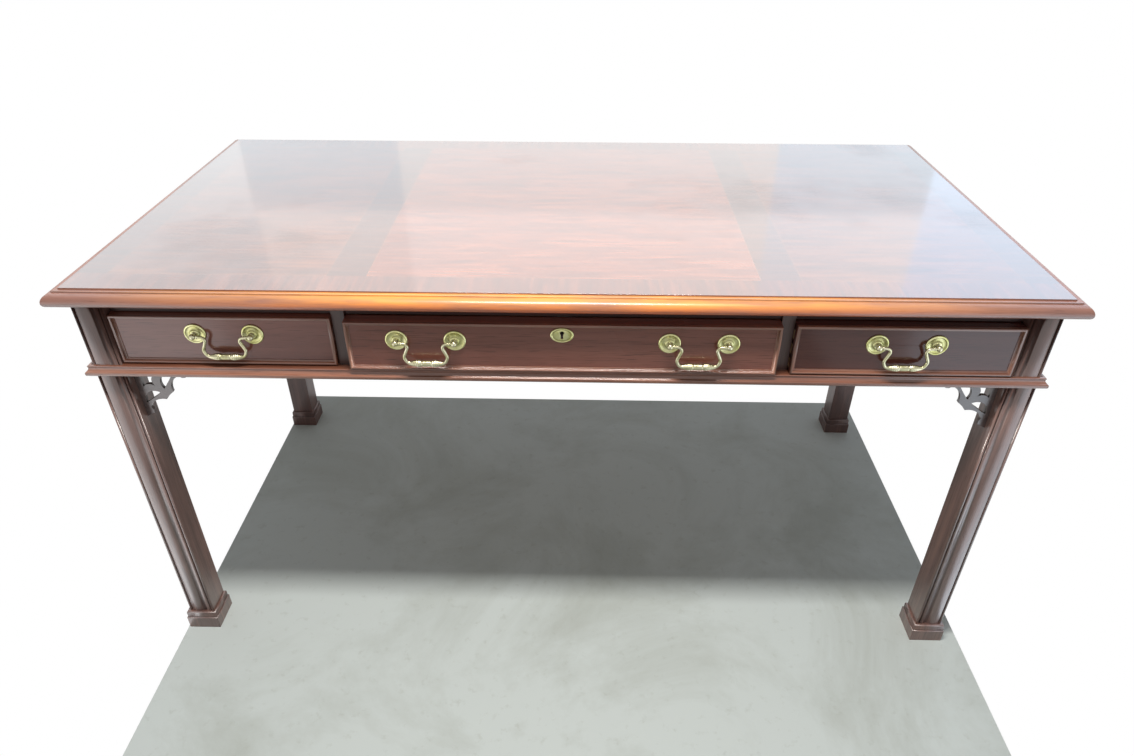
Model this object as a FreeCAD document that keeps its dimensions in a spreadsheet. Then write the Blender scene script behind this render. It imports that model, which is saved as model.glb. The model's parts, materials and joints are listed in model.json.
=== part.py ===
import FreeCAD, Part
import math
import operator
import os
import types

import Sketcher
from FreeCAD import Placement, Rotation, Vector

# A mahogany library table: moulded top, three frieze drawers with swan-neck brass handles,
# moulded straight legs on block feet and pierced brackets under the front rail.
# Millimetres, X to the right, Y to the back, Z up, origin on the floor under the middle of the top.

driving_sizes = {
    # whole table
    "table_height": 756,
    "top_width": 1524,
    "top_depth": 762,
    "overrun": 1,
    # top board and its edge moulding
    "top_thickness": 24.5,
    "lip_width": 20,
    "lip_step": 2,
    "lip_second_step": 2,
    "lip_round": 13,
    # legs and feet
    "leg_size": 50,
    "leg_setback": 22.5,
    "foot_size": 61,
    "foot_neck": 57,
    "foot_height": 42,
    "foot_block_height": 28,
    "foot_edge_round": 1.8,
    "foot_neck_round": 3.2,
    "leg_tenon_size": 26,
    "leg_tenon_length": 22,
    # rails of the frieze
    "frame_recess": 10.5,
    "rail_thickness": 22,
    "top_rail_height": 24.5,
    "top_rail_depth": 32,
    "top_rail_recess": 7,
    "bottom_rail_height": 21,
    "tenon_length": 18,
    "tenon_shoulder": 5,
    "joint_gap": 0.2,
    # dividers and partitions between the drawers
    "centre_opening": 658,
    "divider_width": 20.5,
    "divider_depth": 22,
    "partition_thickness": 18,
    # waist moulding under the drawers
    "waist_height": 17.5,
    "waist_projection": 8.5,
    "waist_drop": 0.5,
    # pierced brackets
    "bracket_reach": 91,
    "bracket_thickness": 6,
    "bracket_setback": 16.5,
    # runners under the drawer sides, kickers over them, glue blocks under the top
    "runner_width": 18,
    "runner_height": 20,
    "guide_height": 26,
    "stop_length": 20,
    "stop_height": 16,
    "stop_gap": 0.5,
    "kicker_gap": 2,
    "block_length": 60,
    "block_size": 24,
    "block_spacing": 190,
    # drawers
    "drawer_height": 84,
    "drawer_gap": 1,
    "drawer_side_gap": 0.8,
    "drawer_length": 480,
    "drawer_front_thickness": 20,
    "drawer_side_thickness": 11,
    "drawer_side_drop": 7,
    "drawer_back_drop": 5,
    "drawer_bottom_thickness": 6,
    "drawer_bottom_rise": 10,
    "groove_depth": 5,
    "tail_length": 14,
    "tail_height": 17,
    "tail_slope": 2,
    "runner_gap": 0.3,
    "centre_drawer_pull": 11.5,
    "right_drawer_pull": 7.5,
    # bead frame on each drawer front
    "bead_recess": 3.5,
    "bead_height": 6,
    "bead_frame": 7,
    # handles
    "handle_height": 52,
    "handle_offset": 207,
    "post_spacing": 89,
    "pivot_standoff": 11,
    "rose_radius": 17,
    "rose_height": 4,
    "stud_radius": 2.5,
    "stud_clearance": 0.3,
    "stud_end": 4,
    "nut_radius": 5.5,
    "nut_height": 5,
    "collar_radius": 5,
    "collar_height": 1.5,
    "stem_radius": 3,
    "knob_radius": 4.8,
    "pin_radius": 2,
    "pin_clearance": 0.08,
    "pin_end_gap": 0.4,
    "bail_rod_radius": 2.4,
    "bail_shoulder_gap": 0.4,
    "bail_drop": 35,
    "bail_neck_bend": 4.5,
    "bail_swan_bend": 9,
    "bail_corner_bend": 9,
    "bail_grip_radius": 4.8,
    # keyhole escutcheon and lock
    "escutcheon_length": 35.5,
    "escutcheon_plate": 1.2,
    "escutcheon_rim": 2.4,
    "escutcheon_drop": 20,
    "keyhole_radius": 2.8,
    "keyhole_rise": 3.5,
    "keyhole_length": 9,
    "lock_width": 58,
    "lock_height": 40,
    "lock_depth": 12,
    "lock_top_gap": 1,
    "bolt_width": 18,
    "bolt_depth": 6,
    "bolt_length": 22,
    "bolt_throw": 8,
    "bolt_clearance": 0.25,
}

# Shares of the leg's width along one moulded face: distance from the outer corner, depth from the crest.
# A third entry marks a point that the arc between its neighbours passes through.
leg_face_shares = (
    (1.000, 0.044),
    (0.956, 0.000, "through"),
    (0.912, 0.044),
    (0.912, 0.066),
    (0.868, 0.066),
    (0.868, 0.026),
    (0.810, 0.010, "through"),
    (0.750, 0.026),
    (0.665, 0.075, "through"),
    (0.590, 0.046),
    (0.370, 0.000, "through"),
    (0.152, 0.046),
    (0.152, 0.084),
    (0.136, 0.084),
)
leg_corner_share = 0.0472

# Shares of the waist moulding's projection and height, from its top back corner round to its bottom
waist_shares = (
    (0.00, 0.00),
    (0.30, 0.00),
    (0.43, 0.03, "through"),
    (0.48, 0.13),
    (0.41, 0.21),
    (0.51, 0.41, "through"),
    (0.74, 0.53),
    (0.95, 0.60, "through"),
    (1.00, 0.74),
    (0.92, 0.92, "through"),
    (0.70, 1.00),
    (0.00, 1.00),
)

# Shares of the bead frame's width and height, from its outer edge on the drawer front
bead_shares = (
    (0.00, 0.00),
    (0.00, 0.66),
    (0.32, 1.00, "through"),
    (0.64, 0.66),
    (0.72, 0.34, "through"),
    (1.00, 0.16),
    (1.00, 0.00),
)

# Shares of the bracket's reach: along the rail, and down the leg. It mirrors about its diagonal.
bracket_half_shares = (
    (1.000, 0.000),
    (0.920, 0.150),
    (0.855, 0.155),
    (0.800, 0.120),
    (0.650, 0.250, "through"),
    (0.620, 0.455),
)
bracket_node_share = 0.530
bracket_corner_hole_shares = (
    (0.112, 0.112),
    (0.345, 0.112),
    (0.290, 0.220, "through"),
    (0.320, 0.320),
    (0.220, 0.290, "through"),
    (0.112, 0.345),
)
bracket_leaf_shares = (
    (0.385, 0.475),
    (0.200, 0.455, "through"),
    (0.085, 0.560),
    (0.070, 0.700),
    (0.220, 0.598, "through"),
)

# Shares of a drawer side's height, where the middles of its dovetails lie
tail_shares = (0.18, 0.50, 0.82)

# Shares of the rose's radius and height, from its bore round the rim and back over the dish
rose_shares = (
    (1.00, 0.00),
    (1.00, 0.30),
    (0.93, 0.66, "through"),
    (0.85, 0.56),
    (0.62, 0.34, "through"),
    (0.44, 0.60),
    (0.38, 0.90, "through"),
    (0.30, 1.00),
)

# Shares of half the post spacing and of the drop, where the bail's straight runs would meet
bail_corner_shares = ((0.530, 0.000), (0.770, 0.660), (0.655, 1.000))
# Shares of the bail's corner reach and of the grip's radius, from the grip's middle to its end
grip_shares = ((0.00, 0.90), (0.23, 0.90), (0.24, 0.72), (0.27, 0.80), (0.48, 1.00), (0.88, 0.54))

# Shares of the escutcheon's half length: an oval of four tangent arcs
oval_joint_shares = (0.787, 0.4347)
oval_side_share = 0.704
oval_rim_share = 0.84
# Shares of the keyhole's radius, where its slot meets the round head
keyhole_slot_shares = (0.571, 0.821)

half_turn = 180
quarter_turn = 90
round_share = 1 - math.sqrt(0.5)


class Size:
    # A length that carries its number and the sheet expression that gives it
    def __init__(self, value, text):
        self.value = value
        self.text = text

    def __add__(self, other):
        return joined(self, "+", other)

    def __radd__(self, other):
        return joined(other, "+", self)

    def __sub__(self, other):
        return joined(self, "-", other)

    def __rsub__(self, other):
        return joined(other, "-", self)

    def __mul__(self, other):
        return joined(self, "*", other)

    def __rmul__(self, other):
        return joined(other, "*", self)

    def __truediv__(self, other):
        return joined(self, "/", other)

    def __neg__(self):
        return Size(-self.value, f"(-{self.text})")

    def root(self):
        return Size(math.sqrt(self.value), f"sqrt({self.text})")


signs = {"+": operator.add, "-": operator.sub, "*": operator.mul, "/": operator.truediv}


def number(item):
    return item.value if isinstance(item, Size) else item


def words(item):
    return item.text if isinstance(item, Size) else repr(item)


def joined(left, sign, right):
    value = signs[sign](number(left), number(right))
    return Size(value, f"({words(left)} {sign} {words(right)})")


doc = FreeCAD.newDocument("LibraryTable")
sheet = doc.addObject("Spreadsheet::Sheet", "Sizes")
for row, (alias, value) in enumerate(driving_sizes.items(), start=1):
    sheet.set(f"A{row}", alias)
    sheet.set(f"B{row}", str(value))
    sheet.setAlias(f"B{row}", alias)
doc.recompute()
sizes = {alias: Size(float(sheet.get(alias)), f"Sizes.{alias}") for alias in driving_sizes}
s = types.SimpleNamespace(**sizes)

# Places that several pieces share
half_width = s.top_width / 2
half_depth = s.top_depth / 2
frieze_top = s.table_height - s.top_thickness
leg_out_x = half_width - s.leg_setback
leg_out_y = half_depth - s.leg_setback
leg_in_x = leg_out_x - s.leg_size
leg_in_y = leg_out_y - s.leg_size
frame_front = s.frame_recess - leg_out_y
top_rail_front = frame_front + s.top_rail_recess
rail_back = top_rail_front + s.top_rail_depth
top_rail_base = frieze_top - s.top_rail_height
drawer_top = top_rail_base - s.drawer_gap
drawer_base = drawer_top - s.drawer_height
sill = drawer_base - s.drawer_gap
frieze_base = sill - s.bottom_rail_height
side_rail_out = leg_out_x - s.frame_recess
side_rail_in = side_rail_out - s.rail_thickness
back_rail_out = leg_out_y - s.frame_recess
back_rail_in = back_rail_out - s.rail_thickness
divider_in = s.centre_opening / 2
divider_out = divider_in + s.divider_width
partition_in = divider_in + (s.divider_width - s.partition_thickness) / 2
partition_out = partition_in + s.partition_thickness
drawer_face = s.bead_recess + s.bead_height - leg_out_y
drawer_side_base = sill + s.runner_gap
drawer_side_top = drawer_top - s.drawer_side_drop
drawer_floor = drawer_side_base + s.drawer_bottom_rise
kicker_base = drawer_side_top + s.kicker_gap

made = []


def keep(piece, label):
    # A finished piece: its label names its file
    piece.Label = label
    made.append(piece)
    return piece


def bind(item, path, size):
    if isinstance(size, Size):
        item.setExpression(path, size.text)


def put(item, x=0, y=0, z=0, turn=None):
    rotation = turn or Rotation()
    item.Placement = Placement(Vector(number(x), number(y), number(z)), rotation)
    for axis, size in zip("xyz", (x, y, z)):
        bind(item, f"Placement.Base.{axis}", size)
    return item


def about_y(angle):
    return Rotation(Vector(0, 1, 0), angle)


def about_z(angle):
    return Rotation(Vector(0, 0, 1), angle)


def box(name, x_span, y_span, z_span):
    solid = doc.addObject("Part::Box", name)
    for side, span in zip(("Length", "Width", "Height"), (x_span, y_span, z_span)):
        bind(solid, side, span[1] - span[0])
    return put(solid, x_span[0], y_span[0], z_span[0])


def same_span(span):
    return span


def mirrored_span(span):
    return (-span[1], -span[0])


def grown(span, margin):
    return (span[0] - margin, span[1] + margin)


def compound(name, pieces):
    group = doc.addObject("Part::Compound", name)
    group.Links = pieces
    return group


def cut(name, base, tools):
    piece = doc.addObject("Part::Cut", name)
    piece.Base = base
    piece.Tool = tools[0] if len(tools) == 1 else compound(f"{name}_cuts", tools)
    return piece


def fuse(name, pieces):
    piece = doc.addObject("Part::MultiFuse", name)
    piece.Shapes = pieces
    return piece


def new_body(name):
    return doc.addObject("PartDesign::Body", name)


def new_sketch(body, name, role, loops, offset=None):
    sketch = body.newObject("Sketcher::SketchObject", name)
    plane = next(item for item in body.Origin.OriginFeatures if item.Role == role)
    sketch.AttachmentSupport = (plane, "")
    sketch.MapMode = "FlatFace"
    if offset is not None:
        sketch.AttachmentOffset = Placement(Vector(0, 0, number(offset)), Rotation())
        bind(sketch, "AttachmentOffset.Base.z", offset)
    for loop in loops:
        draw_loop(sketch, loop)
    return sketch


def pin_point(sketch, geometry, position, x, y):
    # Ties a point to its two coordinates; a zero coordinate is a point on that axis
    for kind, axis, size in (("DistanceX", -2, x), ("DistanceY", -1, y)):
        if number(size) == 0:
            sketch.addConstraint(Sketcher.Constraint("PointOnObject", geometry, position, axis))
        else:
            index = sketch.addConstraint(Sketcher.Constraint(kind, geometry, position, number(size)))
            bind(sketch, f"Constraints[{index}]", size)


def flat_vector(point):
    return Vector(number(point[0]), number(point[1]), 0)


def draw_loop(sketch, loop):
    # A closed outline of lines and of arcs through the points marked in the loop
    corners = [index for index, point in enumerate(loop) if len(point) == 2]
    ends = []
    for place, index in enumerate(corners):
        start = loop[index]
        finish = loop[corners[(place + 1) % len(corners)]]
        between = loop[(index + 1) % len(loop)]
        if len(between) == 2:
            edge = sketch.addGeometry(Part.LineSegment(flat_vector(start), flat_vector(finish)))
        else:
            arc = Part.Arc(flat_vector(start), flat_vector(between), flat_vector(finish))
            edge = sketch.addGeometry(arc)
        first = sketch.getPoint(edge, 1)
        last = sketch.getPoint(edge, 2)
        forward = first.distanceToPoint(flat_vector(start)) < last.distanceToPoint(flat_vector(start))
        ends.append((edge, 1, 2) if forward else (edge, 2, 1))
    for place, index in enumerate(corners):
        edge, head, tail = ends[place]
        pin_point(sketch, edge, head, *loop[index])
        following = ends[(place + 1) % len(ends)]
        sketch.addConstraint(Sketcher.Constraint("Coincident", edge, tail, following[0], following[1]))
        between = loop[(index + 1) % len(loop)]
        if len(between) > 2:
            mark = sketch.addGeometry(Part.Point(flat_vector(between)), True)
            pin_point(sketch, mark, 1, between[0], between[1])
            sketch.addConstraint(Sketcher.Constraint("PointOnObject", mark, 1, edge))


def draw_circle(sketch, x, y, radius):
    ring = Part.Circle(Vector(number(x), number(y), 0), Vector(0, 0, 1), number(radius))
    edge = sketch.addGeometry(ring)
    pin_point(sketch, edge, 3, x, y)
    index = sketch.addConstraint(Sketcher.Constraint("Radius", edge, number(radius)))
    bind(sketch, f"Constraints[{index}]", radius)


def add_pad(body, name, sketch, length, both_ways=False, backward=False):
    pad = body.newObject("PartDesign::Pad", name)
    pad.Profile = sketch
    bind(pad, "Length", length)
    pad.SideType = "Symmetric" if both_ways else "One side"
    pad.Reversed = backward
    return pad


def add_pocket(body, name, sketch, length, both_ways=False, backward=False):
    pocket = body.newObject("PartDesign::Pocket", name)
    pocket.Profile = sketch
    bind(pocket, "Length", length)
    pocket.SideType = "Symmetric" if both_ways else "One side"
    pocket.Reversed = backward
    return pocket


def add_round(body, name, base, height, radius):
    # Rounds the level edges of the base feature that lie at one height
    doc.recompute()
    fillet = body.newObject("PartDesign::Fillet", name)
    names = []
    for index, edge in enumerate(base.Shape.Edges, start=1):
        bounds = edge.BoundBox
        if abs(bounds.ZMin - height.value) < s.joint_gap.value and bounds.ZLength < s.joint_gap.value:
            names.append(f"Edge{index}")
    fillet.Base = (base, names)
    bind(fillet, "Radius", radius)
    return fillet


def scaled(shares, wide, high):
    return [(wide * share[0], high * share[1], *share[2:]) for share in shares]


def swapped(points):
    # The same outline with its two coordinates exchanged, walked the other way
    return [(point[1], point[0], *point[2:]) for point in reversed(points)]


def square_loop(half):
    return [(-half, -half), (half, -half), (half, half), (-half, half)]


def mitre_loops(half_run, near, far):
    # Waste beyond the two mitred ends of a run, near and far being depths from its outer edge
    loops = []
    for side in (-1, 1):
        outer = (half_run - near) * side
        inner = (half_run - far) * side
        loops.append([(outer, near), (outer, far), (inner, far)])
    return loops


# Top board and its edge moulding


def make_top():
    board = box(
        "TopBoard",
        grown((0, 0), half_width - s.lip_width),
        grown((0, 0), half_depth - s.lip_width),
        (frieze_top, s.table_height),
    )
    keep(board, "top_board")


def lip_loop(nose):
    # inset from the nose and depth below the top: two small steps, a quarter round and a smaller one below
    shoulder = s.lip_step + s.lip_second_step
    drop = shoulder + s.lip_round
    under = s.top_thickness - drop
    profile = [
        (s.lip_width, s.lip_step),
        (s.lip_round, s.lip_step),
        (s.lip_round, shoulder),
        (s.lip_round * round_share, shoulder + s.lip_round * round_share, "through"),
        (0, drop),
        (under * round_share, s.top_thickness - under * round_share, "through"),
        (under, s.top_thickness),
        (s.lip_width, s.top_thickness),
    ]
    return [(point[0] - nose, s.table_height - point[1], *point[2:]) for point in profile]


def run_body(name, loop, half_run, nose, depth, turn):
    # A moulding along X with its outer edge at -Y, mitred at both ends, then turned about Z
    body = new_body(name)
    profile = new_sketch(body, f"{name}Profile", "YZ_Plane", [loop])
    add_pad(body, f"{name}Run", profile, half_run * 2, both_ways=True)
    waste = mitre_loops(half_run, -s.overrun, depth + s.overrun)
    loops = [[(x, y - nose) for x, y in triangle] for triangle in waste]
    ends = new_sketch(body, f"{name}Ends", "XY_Plane", loops)
    add_pocket(body, f"{name}Mitres", ends, (s.table_height + s.overrun) * 2, both_ways=True)
    body.Placement = Placement(Vector(), about_z(turn))
    return body


# each side is a quarter turn on from the one before
sides_round = ("front", "right", "back", "left")


def make_top_mouldings():
    for quarter, side in enumerate(sides_round):
        along_x = quarter % 2 == 0
        nose = half_depth if along_x else half_width
        half_run = half_width if along_x else half_depth
        turn = quarter * quarter_turn
        body = run_body(f"TopMoulding{quarter}", lip_loop(nose), half_run, nose, s.lip_width, turn)
        keep(body, f"top_moulding_{side}")


def make_waist_mouldings():
    waist_top = sill - s.waist_drop
    for quarter, side in enumerate(sides_round):
        along_x = quarter % 2 == 0
        face = leg_out_y if along_x else leg_out_x
        half_run = (leg_out_x if along_x else leg_out_y) + s.waist_projection
        between_legs = leg_in_x if along_x else leg_in_y
        nose = face + s.waist_projection
        profile = scaled(waist_shares, s.waist_projection, s.waist_height)
        loop = [(-(face + point[0]), waist_top - point[1], *point[2:]) for point in profile]
        name = f"WaistMoulding{quarter}"
        body = run_body(name, loop, half_run, nose, s.waist_projection, quarter * quarter_turn)
        # the tongue that reaches back between the legs to the recessed rail
        tongue = [
            (-face, waist_top),
            (s.frame_recess - face, waist_top),
            (s.frame_recess - face, waist_top - s.waist_height),
            (-face, waist_top - s.waist_height),
        ]
        sketch = new_sketch(body, f"{name}TongueProfile", "YZ_Plane", [tongue])
        add_pad(body, f"{name}Tongue", sketch, between_legs * 2, both_ways=True)
        keep(body, f"waist_moulding_{side}")


# Rails with tenons, and the legs that take them

rail_slots = {}


def make_rail(label, spans, along, legs):
    # A rail with a shouldered tenon at each end; its mortises are kept for the legs
    tenon_spans = [grown(span, -s.tenon_shoulder) for span in spans]
    tenon_spans[along] = grown(spans[along], s.tenon_length)
    name = label.title().replace("_", "")
    board = box(f"{name}Board", *spans)
    tenon = box(f"{name}Tenon", *tenon_spans)
    slot_spans = [grown(span, s.joint_gap) for span in tenon_spans]
    for leg in legs:
        slot = box(f"{name}Slot{leg.title().replace('_', '')}", *slot_spans)
        rail_slots.setdefault(leg, []).append(slot)
    return fuse(name, [board, tenon])


def make_rails():
    between_x = grown((0, 0), leg_in_x)
    between_y = grown((0, 0), leg_in_y)
    full_height = (frieze_base, frieze_top)
    back_legs = ("back_left_leg", "back_right_leg")
    front_legs = ("front_left_leg", "front_right_leg")
    back = make_rail("back_rail", [between_x, (back_rail_in, back_rail_out), full_height], 0, back_legs)
    keep(back, "back_rail")
    for side, sign_span in (("left", mirrored_span), ("right", same_span)):
        span = sign_span((side_rail_in, side_rail_out))
        legs = (f"front_{side}_leg", f"back_{side}_leg")
        rail = make_rail(f"{side}_side_rail", [span, between_y, full_height], 1, legs)
        keep(rail, f"{side}_side_rail")
    top_spans = [between_x, (top_rail_front, rail_back), (top_rail_base, frieze_top)]
    top_rail = make_rail("front_top_rail", top_spans, 0, front_legs)
    # the slot that the lock bolt rises into, long enough for the drawer shut or just open
    bolt_back = drawer_face + s.drawer_front_thickness + (s.lock_depth + s.bolt_depth) / 2
    bolt_front = bolt_back - s.bolt_depth - s.centre_drawer_pull
    slot_rise = s.bolt_throw + s.bolt_clearance
    bolt_slot = box(
        "BoltSlot",
        grown((0, 0), s.bolt_width / 2 + s.bolt_clearance),
        (bolt_front - s.bolt_clearance, bolt_back + s.bolt_clearance),
        (top_rail_base - s.overrun, drawer_top - s.lock_top_gap + slot_rise),
    )
    keep(cut("FrontTopRailSlotted", top_rail, [bolt_slot]), "front_top_rail")
    bottom_spans = [between_x, (frame_front, rail_back), (frieze_base, sill)]
    keep(make_rail("front_bottom_rail", bottom_spans, 0, front_legs), "front_bottom_rail")


def leg_loop():
    face = scaled(leg_face_shares, s.leg_size, s.leg_size)
    corner = (s.leg_size * leg_corner_share, s.leg_size * leg_corner_share, "through")
    return [(s.leg_size, s.leg_size)] + face + [corner] + swapped(face)


corners_round = (("front_left", -1, -1), ("front_right", 1, -1), ("back_right", 1, 1), ("back_left", -1, 1))


def make_legs():
    for quarter, (place, side_x, side_y) in enumerate(corners_round):
        name = place.title().replace("_", "")
        body = new_body(f"{name}LegBlank")
        section = new_sketch(body, f"{name}LegSection", "XY_Plane", [leg_loop()])
        add_pad(body, f"{name}LegShaft", section, frieze_top - s.foot_height)
        middle = s.leg_size / 2
        reach = s.leg_tenon_size / 2
        tenon = [(x + middle, y + middle) for x, y in square_loop(reach)]
        tenon_sketch = new_sketch(body, f"{name}LegTenonSection", "XY_Plane", [tenon])
        add_pad(body, f"{name}LegTenon", tenon_sketch, s.leg_tenon_length, backward=True)
        put(body, leg_out_x * side_x, leg_out_y * side_y, s.foot_height, about_z(quarter * quarter_turn))
        keep(cut(f"{name}Leg", body, rail_slots[f"{place}_leg"]), f"{place}_leg")


def make_feet():
    for place, side_x, side_y in corners_round:
        name = f"{place.title().replace('_', '')}Foot"
        body = new_body(name)
        base = new_sketch(body, f"{name}Base", "XY_Plane", [square_loop(s.foot_size / 2)])
        block = add_pad(body, f"{name}Block", base, s.foot_block_height)
        rounded = add_round(body, f"{name}BlockRound", block, s.foot_block_height, s.foot_edge_round)
        neck_height = s.foot_height - s.foot_block_height
        neck = new_sketch(
            body, f"{name}NeckBase", "XY_Plane", [square_loop(s.foot_neck / 2)], s.foot_block_height
        )
        collar = add_pad(body, f"{name}Neck", neck, neck_height)
        add_round(body, f"{name}NeckRound", collar, s.foot_height, s.foot_neck_round)
        mortise = square_loop(s.leg_tenon_size / 2 + s.joint_gap)
        socket = new_sketch(body, f"{name}Socket", "XY_Plane", [mortise], s.foot_height)
        add_pocket(body, f"{name}Mortise", socket, s.leg_tenon_length + s.joint_gap)
        middle_x = leg_out_x - s.leg_size / 2
        middle_y = leg_out_y - s.leg_size / 2
        put(body, middle_x * side_x, middle_y * side_y)
        keep(body, f"{place}_foot")


# Dividers, partitions, runners, kickers and glue blocks


def make_dividers():
    depth = (frame_front, frame_front + s.divider_depth)
    for side, turned in (("left", mirrored_span), ("right", same_span)):
        span = turned((divider_in, divider_out))
        post = box(f"{side.title()}DividerPost", span, depth, (sill, frieze_top))
        notch = box(
            f"{side.title()}DividerNotch",
            grown(span, s.overrun),
            (top_rail_front, depth[1] + s.overrun),
            (top_rail_base, frieze_top + s.overrun),
        )
        keep(cut(f"{side.title()}Divider", post, [notch]), f"{side}_divider")
        wall = turned((partition_in, partition_out))
        board = box(f"{side.title()}Partition", wall, (rail_back, back_rail_in), (frieze_base, frieze_top))
        keep(board, f"{side}_partition")


def make_runners():
    runner_low = sill - s.runner_height
    stop_front = drawer_face + s.drawer_length + s.stop_gap
    stop_y = (stop_front, stop_front + s.stop_length)
    stop_z = (sill, sill + s.stop_height)
    between_legs = grown((0, 0), leg_in_y)
    behind_rail = (rail_back, back_rail_in)
    runners = []
    kickers = []
    for side, turned in (("Left", mirrored_span), ("Right", same_span)):
        lanes = (
            ("Outer", (leg_in_x - s.runner_width, side_rail_in), between_legs),
            ("Inner", (partition_out, partition_out + s.runner_width), behind_rail),
            ("Centre", (partition_in - s.runner_width, partition_in), behind_rail),
        )
        for lane, span, run in lanes:
            name = f"{side}{lane}"
            strip = turned(span)
            pieces = [
                box(f"{name}Ledge", strip, run, (runner_low, sill)),
                box(f"{name}Stop", strip, stop_y, stop_z),
            ]
            if lane == "Outer":
                guide = turned((leg_in_x, side_rail_in))
                pieces.append(box(f"{name}Guide", guide, run, (sill, sill + s.guide_height)))
            runners.append(fuse(f"{name}Runner", pieces))
            kickers.append(box(f"{name}Kicker", strip, run, (kicker_base, frieze_top)))
    keep(compound("DrawerRunners", runners), "drawer_runners")
    keep(compound("DrawerKickers", kickers), "drawer_kickers")


def make_glue_blocks():
    blocks = []
    level = (frieze_top - s.block_size, frieze_top)
    rows = (
        ("Front", (rail_back, rail_back + s.block_size)),
        ("Back", (back_rail_in - s.block_size, back_rail_in)),
    )
    for row, depth in rows:
        for step in (-1, 0, 1):
            middle = s.block_spacing * step
            span = (middle - s.block_length / 2, middle + s.block_length / 2)
            blocks.append(box(f"{row}GlueBlock{step + 1}", span, depth, level))
    keep(compound("GlueBlocks", blocks), "glue_blocks")


# Pierced brackets


def bracket_loops(side):
    half = list(bracket_half_shares)
    node = (bracket_node_share, bracket_node_share, "through")
    outline = [(0, 0)] + half + [node] + swapped(half)
    leaf = bracket_leaf_shares
    shapes = (outline, bracket_corner_hole_shares, leaf, swapped(leaf))
    loops = []
    for shape in shapes:
        fret = scaled(shape, s.bracket_reach, s.bracket_reach)
        loops.append([((leg_in_x - spot[0]) * side, frieze_base - spot[1], *spot[2:]) for spot in fret])
    return loops


def make_brackets():
    for side, sign in (("left", -1), ("right", 1)):
        body = new_body(f"{side.title()}Bracket")
        sketch = new_sketch(body, f"{side.title()}BracketFret", "XZ_Plane", bracket_loops(sign))
        add_pad(body, f"{side.title()}BracketBoard", sketch, s.bracket_thickness)
        put(body, 0, s.bracket_setback + s.bracket_thickness - leg_out_y)
        keep(body, f"{side}_bracket")


# Drawers


def bead_strip(name, half_run):
    # One strip of the bead frame along X, its outer edge at zero height, standing out to -Y
    body = new_body(name)
    points = scaled(bead_shares, s.bead_frame, s.bead_height)
    loop = [(-point[1], point[0], *point[2:]) for point in points]
    profile = new_sketch(body, f"{name}Profile", "YZ_Plane", [loop])
    add_pad(body, f"{name}Run", profile, half_run * 2, both_ways=True)
    waste = mitre_loops(half_run, -s.overrun, s.bead_frame + s.overrun)
    ends = new_sketch(body, f"{name}Ends", "XZ_Plane", waste)
    add_pocket(body, f"{name}Mitres", ends, (s.bead_height + s.overrun) * 2, both_ways=True)
    return body


def make_beads(name, label, span, face):
    middle_x = (span[0] + span[1]) / 2
    middle_z = (drawer_base + drawer_top) / 2
    half_x = (span[1] - span[0]) / 2
    half_z = s.drawer_height / 2
    strips = [
        put(bead_strip(f"{name}BottomBead", half_x), middle_x, face, drawer_base),
        put(bead_strip(f"{name}TopBead", half_x), middle_x, face, drawer_top, about_y(half_turn)),
        put(bead_strip(f"{name}LeftBead", half_z), span[0], face, middle_z, about_y(quarter_turn)),
        put(bead_strip(f"{name}RightBead", half_z), span[1], face, middle_z, about_y(-quarter_turn)),
    ]
    keep(compound(f"{name}Beads", strips), f"{label}_bead_frame")


def keyhole_loop(middle_z):
    half_slot = s.keyhole_radius * keyhole_slot_shares[0]
    head = middle_z + s.keyhole_rise
    meet = head - s.keyhole_radius * keyhole_slot_shares[1]
    foot = head - s.keyhole_length
    return [
        (-half_slot, foot),
        (half_slot, foot),
        (half_slot, meet),
        (0, head + s.keyhole_radius, "through"),
        (-half_slot, meet),
    ]


def keyhole_tool(name, front, depth):
    body = new_body(name)
    sketch = new_sketch(body, f"{name}Outline", "XZ_Plane", [keyhole_loop(drawer_top - s.escutcheon_drop)])
    add_pad(body, f"{name}Length", sketch, depth, backward=True)
    return put(body, 0, front)


def tails(name, span, root_y, margin):
    # The dovetails at the front end of a drawer side; with a margin, the tool for their sockets
    tall = drawer_side_top - drawer_side_base
    half_tip = s.tail_height / 2 + margin
    half_root = half_tip - s.tail_slope
    tip_y = root_y - s.tail_length - margin
    loops = []
    for share in tail_shares:
        middle = drawer_side_base + tall * share
        loops.append(
            [
                (root_y, middle - half_root),
                (root_y, middle + half_root),
                (tip_y, middle + half_tip),
                (tip_y, middle - half_tip),
            ]
        )
    body = new_body(name)
    body.AllowCompound = True
    sketch = new_sketch(body, f"{name}Outline", "YZ_Plane", loops)
    add_pad(body, f"{name}Thickness", sketch, span[1] - span[0])
    return put(body, span[0])


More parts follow.
